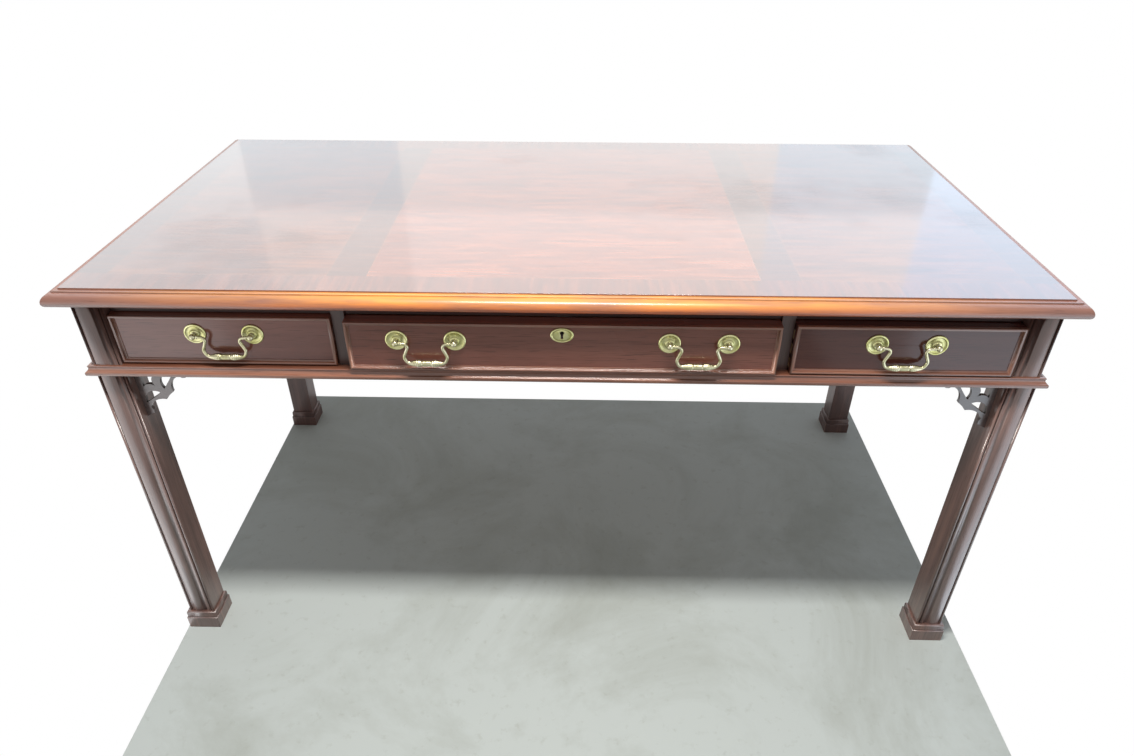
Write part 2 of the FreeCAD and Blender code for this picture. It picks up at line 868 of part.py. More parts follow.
def make_drawer(label, span, pull, handle_places, locked=False):
    name = label.title().replace("_", "")
    face = drawer_face - pull
    front_back = face + s.drawer_front_thickness
    end = face + s.drawer_length
    handle_z = drawer_base + s.handle_height
    groove_z = (drawer_floor, drawer_floor + s.drawer_bottom_thickness)
    inner = grown(span, -s.drawer_side_thickness)
    floor_x = grown(inner, s.groove_depth - s.joint_gap)
    lanes = (
        ("Left", (span[0], inner[0]), (inner[0] - s.groove_depth, inner[0] + s.overrun)),
        ("Right", (inner[1], span[1]), (inner[1] - s.overrun, inner[1] + s.groove_depth)),
    )

    groove_y = (front_back - s.groove_depth, front_back + s.overrun)
    tools = [box(f"{name}FrontGroove", grown(inner, s.groove_depth), groove_y, groove_z)]
    for lane, thick, groove in lanes:
        tools.append(tails(f"{name}{lane}Sockets", grown(thick, s.joint_gap), front_back, s.joint_gap))
    posts = []
    for place, middle in enumerate(handle_places):
        for side in (-1, 1):
            x = middle + s.post_spacing / 2 * side
            hole = doc.addObject("Part::Cylinder", f"{name}StudHole{place}{side + 1}")
            bind(hole, "Radius", s.stud_radius + s.stud_clearance)
            bind(hole, "Height", s.drawer_front_thickness + s.overrun * 2)
            put(hole, x, front_back + s.overrun, handle_z, Rotation(Vector(1, 0, 0), quarter_turn))
            tools.append(hole)
            posts.append((f"{name}{place}{side + 1}", x, side))
    if locked:
        depth = s.drawer_front_thickness + s.overrun * 2
        tools.append(keyhole_tool(f"{name}Keyhole", face - s.overrun, depth))
    board = box(f"{name}FrontBoard", span, (face, front_back), (drawer_base, drawer_top))
    keep(cut(f"{name}Front", board, tools), f"{label}_front")
    make_beads(name, label, span, face)

    sides = []
    for lane, thick, groove in lanes:
        plank = box(f"{name}{lane}Plank", thick, (front_back, end), (drawer_side_base, drawer_side_top))
        board = fuse(f"{name}{lane}Board", [plank, tails(f"{name}{lane}Tails", thick, front_back, 0)])
        slot = box(f"{name}{lane}Groove", groove, (front_back - s.groove_depth, end + s.overrun), groove_z)
        sides.append(cut(f"{name}{lane}Side", board, [slot]))
    keep(compound(f"{name}Sides", sides), f"{label}_sides")
    back_z = (groove_z[1], drawer_side_top - s.drawer_back_drop)
    keep(box(f"{name}Back", inner, (end - s.drawer_side_thickness, end), back_z), f"{label}_back")
    floor_y = (front_back - s.groove_depth + s.joint_gap, end)
    keep(box(f"{name}Bottom", floor_x, floor_y, groove_z), f"{label}_bottom")

    roses = [make_rose(f"Rose{key}", x, face, handle_z) for key, x, side in posts]
    keep(compound(f"{name}Roses", roses), f"{label}_handle_roses")
    hardware = []
    for key, x, side in posts:
        hardware.append(make_post(f"Post{key}", x, face, handle_z, side))
        hardware.append(make_nut(f"Nut{key}", x, front_back, handle_z))
    keep(compound(f"{name}Posts", hardware), f"{label}_handle_posts")
    if locked:
        make_lock(name, face, front_back)


# Handles


def make_rose(name, x, face, z):
    body = new_body(name)
    bore = s.stud_radius + s.stud_clearance
    profile = scaled(rose_shares, s.rose_radius, s.rose_height)
    loop = [(bore, 0)] + profile + [(bore, s.rose_height)]
    sketch = new_sketch(body, f"{name}Profile", "XY_Plane", [loop])
    dish = body.newObject("PartDesign::Revolution", f"{name}Dish")
    dish.Profile = sketch
    dish.ReferenceAxis = (sketch, ["V_Axis"])
    return put(body, x, face, z, about_z(half_turn))


def make_post(name, x, face, z, side):
    # A threaded stud, a collar on the rose, a stem and a round knob bored for the bail's pin
    body = new_body(name)
    back = -(s.drawer_front_thickness + s.nut_height + s.stud_end)
    collar_top = s.rose_height + s.collar_height
    neck = s.pivot_standoff - (s.knob_radius * s.knob_radius - s.stem_radius * s.stem_radius).root()
    loop = [
        (0, back),
        (s.stud_radius, back),
        (s.stud_radius, s.rose_height),
        (s.collar_radius, s.rose_height),
        (s.collar_radius, collar_top),
        (s.stem_radius, collar_top),
        (s.stem_radius, neck),
        (s.knob_radius, s.pivot_standoff, "through"),
        (0, s.pivot_standoff + s.knob_radius),
    ]
    sketch = new_sketch(body, f"{name}Profile", "XY_Plane", [loop])
    turned = body.newObject("PartDesign::Revolution", f"{name}Turning")
    turned.Profile = sketch
    turned.ReferenceAxis = (sketch, ["V_Axis"])
    bore = body.newObject("Sketcher::SketchObject", f"{name}Bore")
    plane = next(item for item in body.Origin.OriginFeatures if item.Role == "YZ_Plane")
    bore.AttachmentSupport = (plane, "")
    bore.MapMode = "FlatFace"
    draw_circle(bore, s.pivot_standoff, 0, s.pin_radius + s.pin_clearance)
    add_pocket(body, f"{name}Eye", bore, s.knob_radius + s.overrun, backward=side > 0)
    return put(body, x, face, z, about_z(half_turn))


def make_nut(name, x, front_back, z):
    facing = Rotation(Vector(1, 0, 0), -quarter_turn)
    hexagon = doc.addObject("Part::Prism", f"{name}Hexagon")
    hexagon.Polygon = 6
    bind(hexagon, "Circumradius", s.nut_radius)
    bind(hexagon, "Height", s.nut_height)
    put(hexagon, x, front_back, z, facing)
    thread = doc.addObject("Part::Cylinder", f"{name}Thread")
    bind(thread, "Radius", s.stud_radius + s.joint_gap)
    bind(thread, "Height", s.nut_height + s.overrun * 2)
    put(thread, x, front_back - s.overrun, z, facing)
    return cut(name, hexagon, [thread])


def rounded_path(points, radii):
    # Straight runs joined by tangent arcs of the given radii
    edges = []
    start = points[0]
    for corner, following, radius in zip(points[1:-1], points[2:], radii):
        before = (start - corner).normalize()
        after = (following - corner).normalize()
        half_angle = before.getAngle(after) / 2
        reach = radius / math.tan(half_angle)
        first = corner + before * reach
        last = corner + after * reach
        middle_way = (before + after).normalize()
        middle = corner + middle_way * (radius / math.sin(half_angle) - radius)
        edges.append(Part.LineSegment(start, first).toShape())
        edges.append(Part.Arc(first, middle, last).toShape())
        start = last
    edges.append(Part.LineSegment(start, points[-1]).toShape())
    return Part.Wire(edges)


def bail_shape():
    half_spacing = s.post_spacing.value / 2
    drop = s.bail_drop.value
    shoulder = half_spacing - s.knob_radius.value - s.bail_shoulder_gap.value
    half = [Vector(-half_spacing * share[0], 0, -drop * share[1]) for share in bail_corner_shares]
    other_half = [Vector(-point.x, 0, point.z) for point in reversed(half)]
    ends = (Vector(-shoulder, 0, 0), Vector(shoulder, 0, 0))
    bends = [s.bail_neck_bend.value, s.bail_swan_bend.value, s.bail_corner_bend.value]
    path = rounded_path([ends[0]] + half + other_half + [ends[1]], bends + bends[::-1])
    section = Part.Wire(Part.Circle(ends[0], Vector(1, 0, 0), s.bail_rod_radius.value).toShape())
    pieces = [path.makePipeShell([section], True, False)]
    pin_length = half_spacing - s.pin_end_gap.value - shoulder
    for end, way in zip(ends, (-1, 1)):
        pieces.append(Part.makeCylinder(s.pin_radius.value, pin_length, end, Vector(way, 0, 0)))
    pieces.append(grip_shape(half[-1].x))
    whole = pieces[0].fuse(pieces[1:])
    return whole.removeSplitter()


def grip_shape(corner_x):
    # The swollen grip, turned about the bail's bottom bar
    radius = s.bail_grip_radius.value
    half = [(corner_x * share[0], radius * share[1]) for share in grip_shares]
    outline = [(-x, r) for x, r in reversed(half)] + half[1:]
    level = -s.bail_drop.value
    points = [Vector(x, 0, level + r) for x, r in outline]
    points.append(Vector(outline[-1][0], 0, level))
    points.append(Vector(outline[0][0], 0, level))
    face = Part.Face(Part.makePolygon(points + points[:1]))
    return face.revolve(Vector(0, 0, level), Vector(1, 0, 0), half_turn * 2)


def make_bail(label, x, pull):
    bail = doc.addObject("Part::Feature", label.title().replace("_", ""))
    bail.Shape = bail_shape()
    put(bail, x, drawer_face - pull - s.pivot_standoff, drawer_base + s.handle_height)
    keep(bail, label)


# Escutcheon and lock of the centre drawer


def oval_loop(scale, middle_z):
    half = s.escutcheon_length / 2 * scale
    joint_x = half * oval_joint_shares[0]
    joint_z = half * oval_joint_shares[1]
    side = half * oval_side_share
    return [
        (joint_x, middle_z - joint_z),
        (half, middle_z, "through"),
        (joint_x, middle_z + joint_z),
        (0, middle_z + side, "through"),
        (-joint_x, middle_z + joint_z),
        (-half, middle_z, "through"),
        (-joint_x, middle_z - joint_z),
        (0, middle_z - side, "through"),
    ]


def make_lock(name, face, front_back):
    middle_z = drawer_top - s.escutcheon_drop
    body = new_body("Escutcheon")
    plate = new_sketch(body, "EscutcheonOval", "XZ_Plane", [oval_loop(1, middle_z), keyhole_loop(middle_z)])
    add_pad(body, "EscutcheonPlate", plate, s.escutcheon_plate)
    ring = new_sketch(
        body, "EscutcheonRing", "XZ_Plane", [oval_loop(1, middle_z), oval_loop(oval_rim_share, middle_z)]
    )
    add_pad(body, "EscutcheonRim", ring, s.escutcheon_rim)
    put(body, 0, face)
    keep(body, "keyhole_escutcheon")

    lock_top = drawer_top - s.lock_top_gap
    depth = (front_back, front_back + s.lock_depth)
    bolt_y = grown(depth, (s.bolt_depth - s.lock_depth) / 2)
    bolt_x = grown((0, 0), s.bolt_width / 2)
    bolt_z = (lock_top - s.bolt_length, lock_top)
    case_x = grown((0, 0), s.lock_width / 2)
    case = box("LockCaseBlock", case_x, depth, (lock_top - s.lock_height, lock_top))
    channel = box(
        "LockChannel",
        grown(bolt_x, s.bolt_clearance),
        grown(bolt_y, s.bolt_clearance),
        (bolt_z[0] - s.bolt_clearance, lock_top + s.overrun),
    )
    keyway = keyhole_tool("LockKeyway", front_back - s.overrun, s.lock_depth / 2 + s.overrun)
    keep(cut("LockCase", case, [channel, keyway]), "lock_case")
    keep(box("LockBolt", bolt_x, bolt_y, bolt_z), "lock_bolt")


def make_drawers():
    side_span = grown((divider_out, leg_in_x), -s.drawer_side_gap)
    centre_span = grown((-divider_in, divider_in), -s.drawer_side_gap)
    side_middle = (divider_out + leg_in_x) / 2
    make_drawer("left_drawer", mirrored_span(side_span), 0, [-side_middle])
    make_bail("left_bail", -side_middle, 0)
    centre_places = [-s.handle_offset, s.handle_offset]
    make_drawer("centre_drawer", centre_span, s.centre_drawer_pull, centre_places, locked=True)
    make_bail("centre_left_bail", -s.handle_offset, s.centre_drawer_pull)
    make_bail("centre_right_bail", s.handle_offset, s.centre_drawer_pull)
    make_drawer("right_drawer", side_span, s.right_drawer_pull, [side_middle])
    make_bail("right_bail", side_middle, s.right_drawer_pull)


make_top()
make_top_mouldings()
make_rails()
make_legs()
make_feet()
make_dividers()
make_waist_mouldings()
make_brackets()
make_runners()
make_glue_blocks()
make_drawers()
doc.recompute()

failed = [item.Name for item in doc.Objects if {"Invalid", "Error"} & set(item.State)]
failed += [piece.Label for piece in made if piece.Shape.isNull() or not piece.Shape.isValid()]
if failed:
    raise RuntimeError("These objects failed: " + ", ".join(failed))

os.makedirs("parts", exist_ok=True)
for piece in made:
    piece.Shape.exportStep(f"parts/{piece.Label}.step")
print(f"{len(made)} nodes written")
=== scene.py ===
import json
import math

import bmesh
import bpy
import numpy as np
from mathutils import Matrix, Vector


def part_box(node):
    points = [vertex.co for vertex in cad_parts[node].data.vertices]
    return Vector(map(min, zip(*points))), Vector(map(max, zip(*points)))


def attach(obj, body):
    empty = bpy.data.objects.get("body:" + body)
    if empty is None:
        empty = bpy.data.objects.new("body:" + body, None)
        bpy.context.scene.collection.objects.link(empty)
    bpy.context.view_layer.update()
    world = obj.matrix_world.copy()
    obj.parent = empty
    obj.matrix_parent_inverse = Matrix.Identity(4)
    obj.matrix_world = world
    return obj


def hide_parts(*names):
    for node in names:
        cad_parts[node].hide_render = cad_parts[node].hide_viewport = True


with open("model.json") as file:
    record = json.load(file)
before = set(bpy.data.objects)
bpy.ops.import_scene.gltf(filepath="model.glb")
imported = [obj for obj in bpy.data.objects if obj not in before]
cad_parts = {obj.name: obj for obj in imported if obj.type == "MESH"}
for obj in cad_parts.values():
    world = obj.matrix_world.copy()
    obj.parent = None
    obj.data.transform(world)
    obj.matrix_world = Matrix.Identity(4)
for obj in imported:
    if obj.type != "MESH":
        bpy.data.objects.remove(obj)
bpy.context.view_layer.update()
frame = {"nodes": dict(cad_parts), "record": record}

scene = bpy.context.scene
mm = 0.001


# shader maths: a wrapped socket that adds its own Math nodes
class Tone:
    def __init__(self, finish, socket):
        self.finish = finish
        self.socket = socket

    def math(self, operation, other=0.0, flip=False):
        pair = (other, self) if flip else (self, other)
        inputs = {"Value": pair[0], "Value_001": pair[1]}
        return self.finish.node("Math", {"operation": operation}, inputs)

    def __add__(self, other):
        return self.math("ADD", other)

    def __sub__(self, other):
        return self.math("SUBTRACT", other)

    def __mul__(self, other):
        return self.math("MULTIPLY", other)

    def __rsub__(self, other):
        return self.math("SUBTRACT", other, flip=True)

    __radd__ = __add__
    __rmul__ = __mul__


class Finish:
    def __init__(self, name):
        self.material = bpy.data.materials.new(name)
        self.material.use_nodes = True
        self.tree = self.material.node_tree
        self.tree.nodes.clear()

    def node(self, kind, settings, inputs, output=None):
        made = self.tree.nodes.new("ShaderNode" + kind)
        for key, value in settings.items():
            if key == "stops":
                self.setStops(made.color_ramp, value)
            else:
                setattr(made, key, value)
        for socket in made.inputs:
            if socket.identifier in inputs:
                self.feed(socket, inputs[socket.identifier])
        found = [socket for socket in made.outputs if output in (None, socket.identifier)]
        return Tone(self, found[0]) if found else made

    def feed(self, socket, value):
        if isinstance(value, Tone):
            self.tree.links.new(value.socket, socket)
        else:
            socket.default_value = value

    def setStops(self, ramp, stops):
        while len(ramp.elements) < len(stops):
            ramp.elements.new(0.5)
        for element, (position, colour) in zip(ramp.elements, stops):
            element.position = position
            element.color = colour

    def ramp(self, value, low, high):
        stops = [(low, (0, 0, 0, 1)), (high, (1, 1, 1, 1))]
        return self.node("ValToRGB", {"stops": stops}, {"Fac": value}, "Color")

    def span(self, value, low, high):
        # 0 at low and 1 at high, with no limit on the units
        inputs = {"Value": value, "From Min": low, "From Max": high}
        return self.node("MapRange", {"clamp": True}, inputs, "Result")

    def blend(self, factor, first, second):
        inputs = {"Factor_Float": factor, "A_Color": first, "B_Color": second}
        return self.node("Mix", {"data_type": "RGBA"}, inputs, "Result_Color")

    def tint(self, factor, colour, shade):
        inputs = {"Factor_Float": factor, "A_Color": colour, "B_Color": rgba(shade)}
        return self.node("Mix", {"data_type": "RGBA", "blend_type": "MULTIPLY"}, inputs, "Result_Color")

    def noise(self, vector, scale=1.0, detail=2.0, roughness=0.5, distortion=0.0):
        inputs = {"Vector": vector, "Scale": scale, "Detail": detail, "Roughness": roughness, "Distortion": distortion}
        return self.node("TexNoise", {"noise_dimensions": "3D"}, inputs)

    def place(self):
        return self.node("TexCoord", {}, {}, "Object")

    def axis(self, vector, name):
        return self.node("SeparateXYZ", {}, {"Vector": vector}, name)

    def stretched(self, vector, scale, offset=(0, 0, 0)):
        return self.node("Mapping", {}, {"Vector": vector, "Scale": scale, "Location": offset})

    def attribute(self, name):
        return self.node("Attribute", {"attribute_name": name}, {}, "Fac")

    def bump(self, height, strength, distance):
        inputs = {"Height": height, "Strength": strength, "Distance": distance}
        return self.node("Bump", {}, inputs, "Normal")

    def finish(self, values):
        shader = self.node("BsdfPrincipled", {}, values, "BSDF")
        self.node("OutputMaterial", {"is_active_output": True}, {"Surface": shader})
        return self.material


def rgba(colour):
    return (*colour, 1.0)


# polished mahogany and bare oak; scales are along and across the grain; the crease colour fills the pores and is
# painted shade in creases and hollows
woodLooks = {
    "mahoganyTop": {
        "dark": (0.110, 0.026, 0.013), "mid": (0.215, 0.052, 0.022), "light": (0.31, 0.086, 0.032),
        "worn": (0.48, 0.20, 0.08), "quirk": (0.030, 0.010, 0.006), "gloss": 0.16, "specular": 0.1, "coat": 1.0,
        "coatIor": 2.2, "coatRough": 0.08, "figure": (9.0, 50.0), "streak": (8.0, 150.0), "bump": 0.05},
    "banding": {
        "dark": (0.085, 0.024, 0.015), "mid": (0.150, 0.042, 0.024), "light": (0.22, 0.068, 0.036),
        "quirk": (0.020, 0.008, 0.006), "figure": (8.0, 70.0), "streak": (5.0, 160.0)},
    # the lip: lighter than the other mahogany; its worn and lower colours carry painted light as well as wear
    "mahoganyLip": {
        "dark": (0.24, 0.104, 0.074), "mid": (0.36, 0.162, 0.118), "light": (0.46, 0.220, 0.160),
        "worn": (0.89, 0.38, 0.08), "under": (0.86, 0.165, 0.03), "quirk": (0.050, 0.016, 0.008), "gloss": 0.36,
        "coat": 0.35, "coatIor": 1.5, "coatRough": 0.16, "figure": (2.6, 20.0), "streak": (1.5, 90.0), "bump": 0.06},
    # a darker copy of the mahogany for the back and side rails and the back legs and feet: painted shade
    "mahogany": {
        "dark": (0.052, 0.022, 0.017), "mid": (0.100, 0.043, 0.033), "light": (0.16, 0.072, 0.055),
        "worn": (0.30, 0.12, 0.07), "quirk": (0.014, 0.007, 0.006), "gloss": 0.50, "coat": 0.20, "coatIor": 1.5,
        "coatRough": 0.20, "figure": (2.6, 20.0), "streak": (1.5, 90.0), "bump": 0.07},
    # a darker copy of the mahogany for the recessed front rails and dividers: painted shade
    "mahoganyPaintedShade": {
        "dark": (0.030, 0.013, 0.010), "mid": (0.058, 0.025, 0.020), "light": (0.095, 0.040, 0.031),
        "worn": (0.30, 0.12, 0.07), "quirk": (0.012, 0.006, 0.005), "gloss": 0.42, "coat": 0.3, "coatIor": 1.5,
        "coatRough": 0.20, "figure": (2.6, 20.0), "streak": (1.5, 90.0), "bump": 0.07},
    "mahoganyLeg": {
        "dark": (0.095, 0.046, 0.036), "mid": (0.170, 0.086, 0.068), "light": (0.26, 0.135, 0.105),
        "worn": (0.34, 0.18, 0.13), "quirk": (0.030, 0.016, 0.013), "gloss": 0.42, "coat": 0.9, "coatIor": 1.6,
        "coatRough": 0.26, "figure": (2.6, 20.0), "streak": (1.5, 90.0), "bump": 0.07},
    "mahoganyBracket": {
        "dark": (0.065, 0.042, 0.040), "mid": (0.105, 0.070, 0.066), "light": (0.15, 0.100, 0.095),
        "worn": (0.36, 0.20, 0.15), "quirk": (0.030, 0.016, 0.013), "gloss": 0.42, "coat": 0.8, "coatIor": 1.6,
        "coatRough": 0.24, "figure": (2.6, 20.0), "streak": (1.5, 90.0), "bump": 0.07},
    # a lighter copy of the mahogany for the waist moulding and bead frames: painted light
    "mahoganyMouldingPaintedLight": {
        "dark": (0.17, 0.062, 0.036), "mid": (0.29, 0.115, 0.068), "light": (0.42, 0.185, 0.110),
        "worn": (0.50, 0.22, 0.11), "quirk": (0.018, 0.008, 0.006), "gloss": 0.30, "coat": 0.6, "coatIor": 1.5,
        "coatRough": 0.14, "figure": (2.6, 20.0), "streak": (1.5, 90.0), "bump": 0.07},
    "mahoganyFront": {
        "dark": (0.240, 0.086, 0.063), "mid": (0.290, 0.106, 0.078), "light": (0.340, 0.127, 0.092),
        "worn": (0.34, 0.14, 0.085), "quirk": (0.016, 0.008, 0.007), "gloss": 0.28, "coat": 0.85, "coatIor": 1.55,
        "coatRough": 0.16, "specular": 0.10, "figure": (2.0, 14.0), "streak": (1.2, 80.0), "bump": 0.05},
    # a darker copy of the drawer-front mahogany for the right drawer: painted shade
    "mahoganyFrontPaintedShade": {
        "dark": (0.110, 0.034, 0.027), "mid": (0.134, 0.043, 0.034), "light": (0.158, 0.053, 0.040),
        "worn": (0.34, 0.14, 0.085), "quirk": (0.016, 0.008, 0.007), "gloss": 0.28, "coat": 0.80, "coatIor": 1.5,
        "coatRough": 0.12, "specular": 0.04, "figure": (2.0, 14.0), "streak": (1.2, 80.0), "bump": 0.05},
    "oak": {
        "dark": (0.26, 0.155, 0.075), "mid": (0.44, 0.30, 0.165), "light": (0.56, 0.41, 0.25),
        "worn": (0.62, 0.48, 0.31), "quirk": (0.12, 0.075, 0.04), "gloss": 0.6, "coat": 0.0, "coatIor": 1.5,
        "coatRough": 0.3, "figure": (3.0, 24.0), "streak": (2.2, 120.0), "bump": 0.12},
}
woods = {}


def alongGrain(axis, scales):
    return tuple(scales[0] if index == axis else scales[1] for index in range(3))


def grainLayers(f, place, values, axis):
    # colour, open pores and fine relief of one veneer
    figure = f.noise(f.stretched(place, alongGrain(axis, values["figure"])), 1.0, 3.0, 0.6, 0.9)
    streakPlace = f.stretched(place, alongGrain(axis, values["streak"]), (3.1, 1.7, 5.3))
    streak = f.noise(streakPlace, 1.0, 4.0, 0.62)
    fibre = f.noise(f.stretched(place, alongGrain(axis, (9.0, 420.0))), 1.0, 2.0, 0.55)
    pores = f.ramp(f.noise(f.stretched(place, alongGrain(axis, (26.0, 900.0))), 1.0, 1.0), 0.60, 0.70)
    depth = figure * 0.55 + streak * 0.45
    colour = f.blend(f.ramp(depth, 0.36, 0.56), rgba(values["dark"]), rgba(values["mid"]))
    colour = f.blend(f.ramp(depth, 0.50, 0.70), colour, rgba(values["light"]))
    colour = f.blend(f.ramp(fibre, 0.35, 0.75) * 0.30, colour, rgba(values["dark"]))
    colour = f.blend(pores * 0.45, colour, rgba(values["quirk"]))
    relief = fibre * 0.35 + streak * 0.2 - pores * 0.6
    return colour, pores, relief


# the front lip, lighter in its middle, partly worn back to the bare colour where arms rest and partly a painted pool
# of light: metres from the middle, then mm above its foot
lipWearAndLight = {"start": 0.70, "full": 0.252, "low": 4, "high": 18, "grain": (6.0, 60.0, 60.0), "strength": 0.95}


def lipWearAndPaintedLight(f, place, values, colour, foot):
    near = f.span(f.axis(place, "X").math("ABSOLUTE"), lipWearAndLight["start"], lipWearAndLight["full"])
    # painted light from above: the lip's colour goes from redder below to golden above
    above = f.span(f.axis(place, "Z"), foot + lipWearAndLight["low"] * mm, foot + lipWearAndLight["high"] * mm)
    patch = f.ramp(f.noise(f.stretched(place, lipWearAndLight["grain"]), 1.0, 4.0, 0.6), 0.24, 0.58)
    wearAndLight = f.blend(above, rgba(values["under"]), rgba(values["worn"]))
    return f.blend(near * patch * lipWearAndLight["strength"], colour, wearAndLight)


def polished(f, place, values, colour, pores, relief, lipFoot=None):
    cloud = f.noise(place, 3.4, 3.0, 0.6)
    if lipFoot is not None:
        colour = lipWearAndPaintedLight(f, place, values, colour, lipFoot)
    rubbed = f.attribute("crest") * f.ramp(cloud, 0.38, 0.62)
    colour = f.blend(rubbed * 0.55, colour, rgba(values["worn"]))
    # painted shade: tagged creases, leg hollows and keyhole walls blend towards the dark crease colour
    colour = f.blend(f.attribute("quirk") * 0.8, colour, rgba(values["quirk"]))
    gloss = cloud * 0.12 + pores * 0.10 + (values["gloss"] - 0.06)
    coat = (1.0 - f.ramp(cloud, 0.55, 0.85) * 0.25) * values["coat"] if values["coat"] else 0.0
    return f.finish({
        "Base Color": colour, "Roughness": gloss, "Normal": f.bump(relief, values["bump"], 0.0006), "IOR": 1.5,
        "Specular IOR Level": values.get("specular", 0.5), "Coat Weight": coat,
        "Coat Roughness": values["coatRough"], "Coat IOR": values["coatIor"]})


def makeWood(look, axis, lipFoot=None):
    key = (look, axis, lipFoot)
    if key not in woods:
        values = woodLooks[look]
        f = Finish(look + "Grain" + "XYZ"[axis])
        place = f.place()
        colour, pores, relief = grainLayers(f, place, values, axis)
        woods[key] = polished(f, place, values, colour, pores, relief, lipFoot)
    return woods[key]


# the top's veneer: three panels inside darker crossbanding, with a fine light line between
veneer = {
    "panelEdge": 0.297, "bandWidth": 0.062, "border": 0.050, "line": 0.0012, "seam": 0.0004,
    "outerTint": (0.52, 0.74, 0.85), "bandTint": (0.55, 0.76, 0.84)}


def makeVeneer(high):
    values = woodLooks["mahoganyTop"]
    f = Finish("veneeredTop")
    place = f.place()
    across = f.axis(place, "X").math("ABSOLUTE")
    deep = f.axis(place, "Y").math("ABSOLUTE")
    middleBand = veneer["panelEdge"] + veneer["bandWidth"] / 2
    toBand = (across - middleBand).math("ABSOLUTE") - veneer["bandWidth"] / 2
    toEnd = (high[0] - veneer["border"]) - across
    toLong = (high[1] - veneer["border"]) - deep
    inset = toBand.math("MINIMUM", toEnd).math("MINIMUM", toLong)  # above zero on the panels
    panel = f.span(inset, -veneer["seam"], veneer["seam"])
    longBorder = f.span(toLong, veneer["seam"], -veneer["seam"])
    field, pores, relief = grainLayers(f, place, values, 0)
    bandAlong = grainLayers(f, place, woodLooks["banding"], 0)[0]
    bandAcross = grainLayers(f, place, woodLooks["banding"], 1)[0]
    outer = f.span(across, veneer["panelEdge"], veneer["panelEdge"] + veneer["bandWidth"])
    field = f.tint(outer * 0.55, field, veneer["outerTint"])
    bandAlong = f.tint(0.6, bandAlong, veneer["bandTint"])
    colour = f.blend(panel, f.blend(longBorder, bandAlong, bandAcross), field)
    line = f.span(inset.math("ABSOLUTE"), veneer["line"], veneer["line"] * 0.5)
    colour = f.blend(line * 0.16, colour, rgba(values["worn"]))
    return polished(f, place, values, colour, pores, relief)


# aged brass and worn lock steel
metalLooks = {
    "agedBrass": {
        "bright": (0.54, 0.51, 0.36), "dull": (0.36, 0.34, 0.18), "grime": (0.09, 0.085, 0.04),
        "gloss": 0.30, "grain": 1000.0},
    "castBrass": {
        "bright": (0.62, 0.60, 0.33), "dull": (0.42, 0.41, 0.14), "grime": (0.12, 0.115, 0.035),
        "gloss": 0.30, "grain": 1000.0},
    "lockSteel": {
        "bright": (0.42, 0.41, 0.39), "dull": (0.22, 0.20, 0.18), "grime": (0.07, 0.05, 0.035),
        "gloss": 0.36, "grain": 1400.0},
}


def makeMetal(look):
    values = metalLooks[look]
    f = Finish(look)
    place = f.place()
    patches = f.noise(place, 70.0, 4.0, 0.65, 0.4)
    grain = f.noise(place, values["grain"], 2.0)
    sunk = f.attribute("quirk")
    colour = f.blend(f.ramp(patches, 0.40, 0.66), rgba(values["bright"]), rgba(values["dull"]))
    colour = f.blend(sunk * 0.85, colour, rgba(values["grime"]))
    gloss = patches * 0.22 + sunk * 0.25 + (values["gloss"] - 0.09)
    return f.finish({
        "Base Color": colour, "Roughness": gloss, "Normal": f.bump(grain, 0.12, 0.0004), "Metallic": 1.0})


agedBrass = makeMetal("agedBrass")
castBrass = makeMetal("castBrass")
lockSteel = makeMetal("lockSteel")
print("finishes ready")


# CAD nodes carried over: merged copies with eased edges, worn crests and painted shade in the concave creases (grime
# on the metal ones)
def bodyOf(node):
    return next(body for body, nodes in frame["record"]["behaviour"]["bodies"].items() if node in nodes)


def slotOf(node):
    entry = next(item for item in frame["record"]["subparts"] if item["node"] == node)
    return entry["material_slot"]


def linked(name, mesh):
    piece = bpy.data.objects.new(name, mesh)
    scene.collection.objects.link(piece)
    return piece


def settle(piece, node):
    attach(piece, bodyOf(node))
    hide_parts(node)
    slotOf(node)


# angles in degrees, distances in metres
easing = {"merge": 1e-6, "flat": 0.6, "sharp": 24, "creaseShadeShare": 0.7, "tooThin": 2e-6}
# painted shade in the legs' hollows: inset where it starts, inset where it is full, and its strength
legHollowShade = {"shallow": 1.5 * mm, "deep": 4.0 * mm, "dark": 0.4}


def sharpEdges(bm, shortest, convex):
    found = []
    for edge in bm.edges:
        if len(edge.link_faces) != 2 or edge.calc_length() < shortest:
            continue
        turn = edge.calc_face_angle_signed()
        if (turn if convex else -turn) > math.radians(easing["sharp"]):
            found.append(edge)
    return found


def tagBevel(bm, edges, offset, segments, layer):
    if not edges:
        return
    made = bmesh.ops.bevel(bm, geom=edges, offset=offset, segments=segments, profile=0.5, affect="EDGES",
                           clamp_overlap=False)
    for face in made["faces"]:
        face[layer] = 1.0


def paintHollowShade(bm, layer):
    # faces set back from the piece's own box on all four sides, the hollows of a moulded leg, get painted shade that
    # deepens with the inset
    low = [min(vertex.co[axis] for vertex in bm.verts) for axis in (0, 1)]
    high = [max(vertex.co[axis] for vertex in bm.verts) for axis in (0, 1)]
    shallow, deep = legHollowShade["shallow"], legHollowShade["deep"]
    for face in bm.faces:
        spot = face.calc_center_median()
        inset = min(min(spot[axis] - low[axis], high[axis] - spot[axis]) for axis in (0, 1))
        share = (inset - shallow) / (deep - shallow)
        face[layer] = max(face[layer], legHollowShade["dark"] * min(1.0, max(0.0, share)))


def openMitres(bm):
    # strips that meet at mitres become one frame: the hidden faces inside the joints go
    bm.normal_update()
    inner = [face for face in bm.faces if min(abs(face.normal.x), abs(face.normal.z)) > 0.5]
    bmesh.ops.delete(bm, geom=inner, context="FACES")


